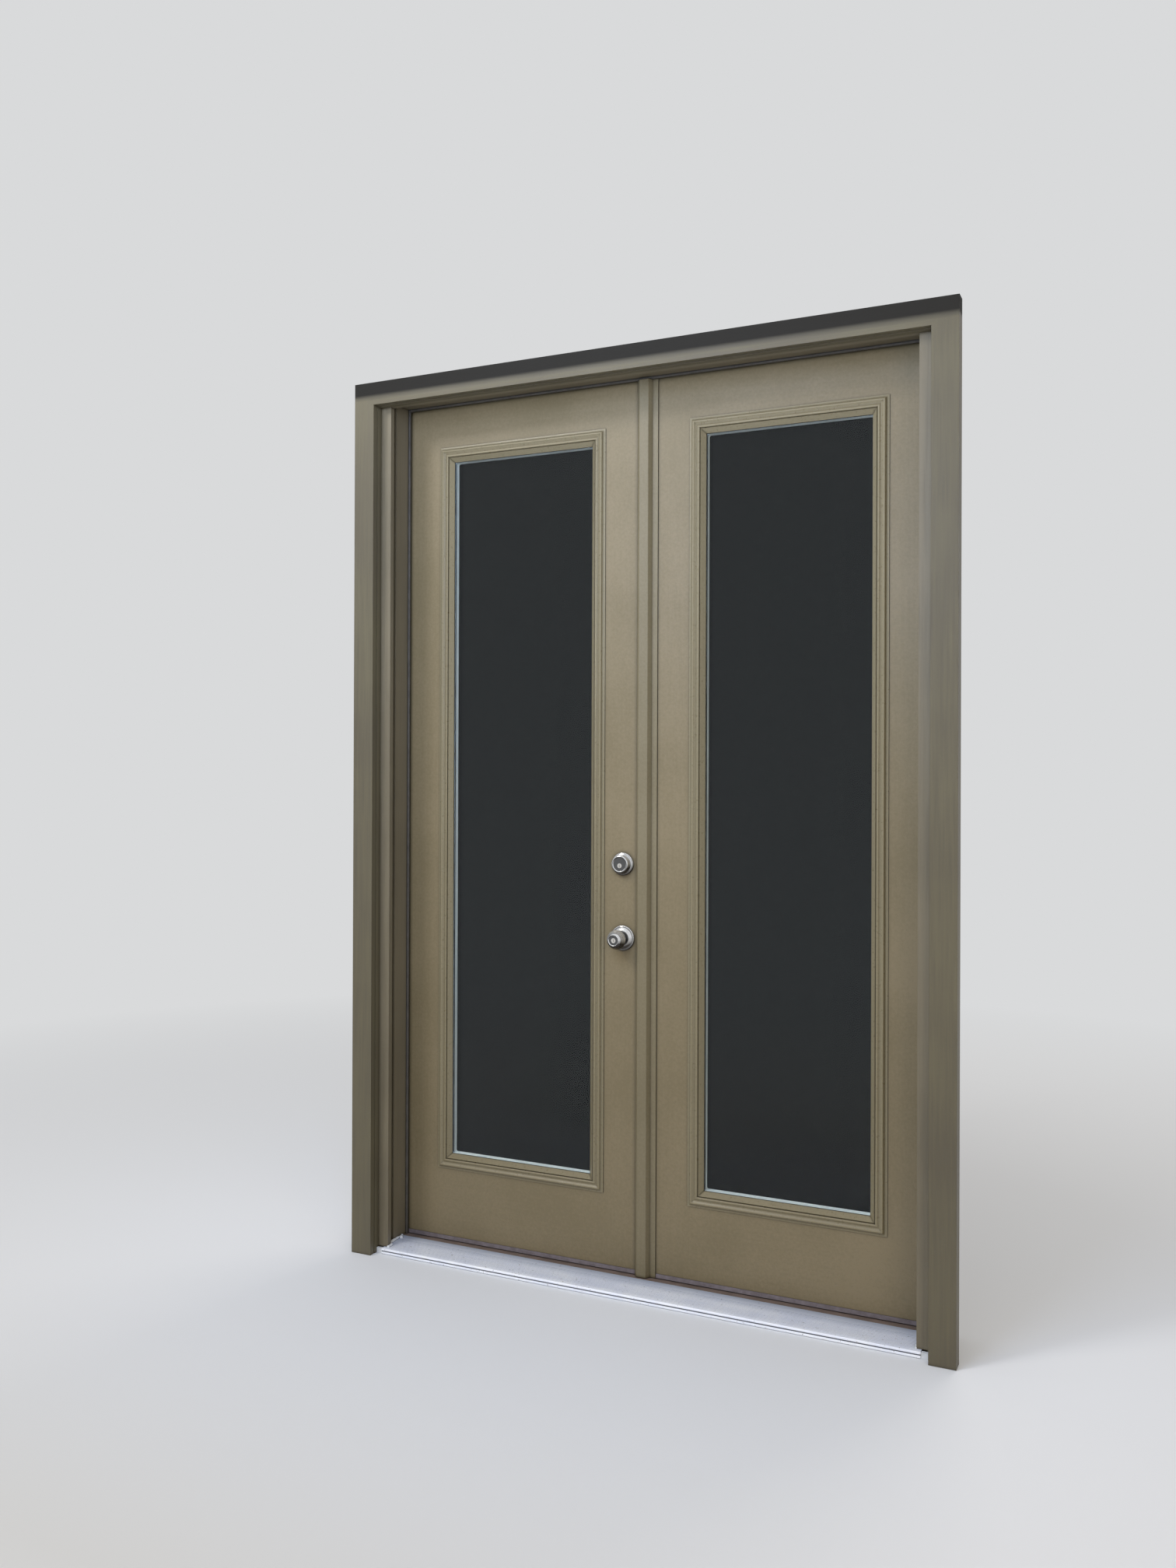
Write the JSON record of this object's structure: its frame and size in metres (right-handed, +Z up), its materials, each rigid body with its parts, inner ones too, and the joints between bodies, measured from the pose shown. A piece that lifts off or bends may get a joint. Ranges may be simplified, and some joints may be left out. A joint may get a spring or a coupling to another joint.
{
  "type": "french doors",
  "caption": "Pair of tall full-lite inswing doors in their frame, with outer trim, sill, T-astragal, knob and deadbolt.",
  "frame": {"origin": "centre of the sill's underside, half way between the nosing and the room edge of the frame", "axes": "+X across the doorway to the right as seen from outdoors, -Y outdoors, +Z up"},
  "size_m": [1.675, 0.2676, 2.489],
  "materials": {
    "trim_paint": "olive brown satin paint",
    "leaf_paint": "olive brown satin paint",
    "lite_paint": "olive brown satin paint on a moulded frame",
    "astragal_paint": "olive brown satin paint",
    "clear_glass": "clear",
    "spacer_pale": "mill",
    "seal_black": "matt",
    "sweep_grey": "matt",
    "sill_aluminium": "mill",
    "sill_composite": "matt",
    "cap_composite": "matt",
    "sealant_white": "matt",
    "hinge_steel": "satin",
    "nickel": "satin nickel",
    "brass_plug": "nickel plated",
    "bolt_steel": "zinc plated"
  },
  "bodies": {
    "frame": {"brickmould_left": "trim_paint", "brickmould_right": "trim_paint", "brickmould_head": "trim_paint", "strip_left": "trim_paint", "strip_right": "trim_paint", "strip_head": "trim_paint", "backer_left": "trim_paint", "backer_right": "trim_paint", "backer_head": "trim_paint", "casing_left": "trim_paint", "casing_right": "trim_paint", "casing_head": "trim_paint", "jamb_left": "trim_paint", "jamb_right": "trim_paint", "head_jamb": "trim_paint", "sill_base": "sill_composite", "sill_deck": "sill_aluminium", "sill_cap": "cap_composite", "sill_sealant": "sealant_white", "weatherstrip": "seal_black", "hinge_jamb_plates": "hinge_steel", "hinge_pins": "hinge_steel"},
    "left_leaf": {"left_hinge_stile": "leaf_paint", "left_lock_stile": "leaf_paint", "left_top_rail": "leaf_paint", "left_bottom_rail": "leaf_paint", "left_lite_frame_outside": "lite_paint", "left_lite_frame_inside": "lite_paint", "left_panes": "clear_glass", "left_spacer": "spacer_pale", "left_glazing_seal": "seal_black", "left_sweep": "sweep_grey", "left_hinge_leaf_plates": "hinge_steel", "deadbolt_rose": "nickel", "deadbolt_inner_plate": "nickel", "deadbolt_case": "bolt_steel", "knob_roses": "nickel", "latch_case": "bolt_steel"},
    "right_leaf": {"right_hinge_stile": "leaf_paint", "right_lock_stile": "leaf_paint", "right_top_rail": "leaf_paint", "right_bottom_rail": "leaf_paint", "right_lite_frame_outside": "lite_paint", "right_lite_frame_inside": "lite_paint", "right_panes": "clear_glass", "right_spacer": "spacer_pale", "right_glazing_seal": "seal_black", "right_sweep": "sweep_grey", "right_hinge_leaf_plates": "hinge_steel", "astragal": "astragal_paint", "strikes": "bolt_steel"},
    "knob": {"knob_outer": "nickel", "knob_inner": "nickel"},
    "knob_key": {"knob_plug": "brass_plug"},
    "latch": {"latch_bolt": "bolt_steel"},
    "deadbolt_turn": {"thumbturn": "nickel", "deadbolt_plug": "brass_plug"},
    "deadbolt": {"deadbolt": "bolt_steel"},
    "top_bolt": {"slide_bolt_top": "bolt_steel"},
    "foot_bolt": {"slide_bolt_foot": "bolt_steel"}
  },
  "joints": [
    {"name": "left_leaf_swing", "type": "hinge", "parent": "frame", "child": "left_leaf", "pos_m": [-0.7636, 0.09532, 1.2], "axis": [0, 0, 1], "range_deg": [0, 105]},
    {"name": "right_leaf_swing", "type": "hinge", "parent": "frame", "child": "right_leaf", "pos_m": [0.7636, 0.09532, 1.2], "axis": [0, 0, -1], "range_deg": [0, 90]},
    {"name": "knob_turn", "type": "hinge", "parent": "left_leaf", "child": "knob", "pos_m": [-0.06665, 0.0665, 0.923], "axis": [0, 1, 0], "range_deg": [0, 60]},
    {"name": "latch_slide", "type": "slide", "parent": "left_leaf", "child": "latch", "axis": [1, 0, 0], "range_m": [0, 0.012]},
    {"name": "knob_key_turn", "type": "hinge", "parent": "knob", "child": "knob_key", "pos_m": [-0.06665, -0.00573, 0.923], "axis": [0, 1, 0], "range_deg": [0, 90]},
    {"name": "deadbolt_turn", "type": "hinge", "parent": "left_leaf", "child": "deadbolt_turn", "pos_m": [-0.06665, 0.0665, 1.12], "axis": [0, 1, 0], "range_deg": [0, 90]},
    {"name": "deadbolt_slide", "type": "slide", "parent": "left_leaf", "child": "deadbolt", "axis": [1, 0, 0], "range_m": [0, 0.0254]},
    {"name": "top_bolt_slide", "type": "slide", "parent": "right_leaf", "child": "top_bolt", "axis": [0, 0, 1], "range_m": [0, 0.014]},
    {"name": "foot_bolt_slide", "type": "slide", "parent": "right_leaf", "child": "foot_bolt", "axis": [0, 0, -1], "range_m": [0, 0.014]}
  ],
  "couplings": [
    {"joint": "right_leaf_swing", "follows": "left_leaf_swing", "ratio": 0.85},
    {"joint": "latch_slide", "follows": "knob_turn", "m_per_rad": 0.011458},
    {"joint": "deadbolt_slide", "follows": "deadbolt_turn", "m_per_rad": 0.016168}
  ]
}
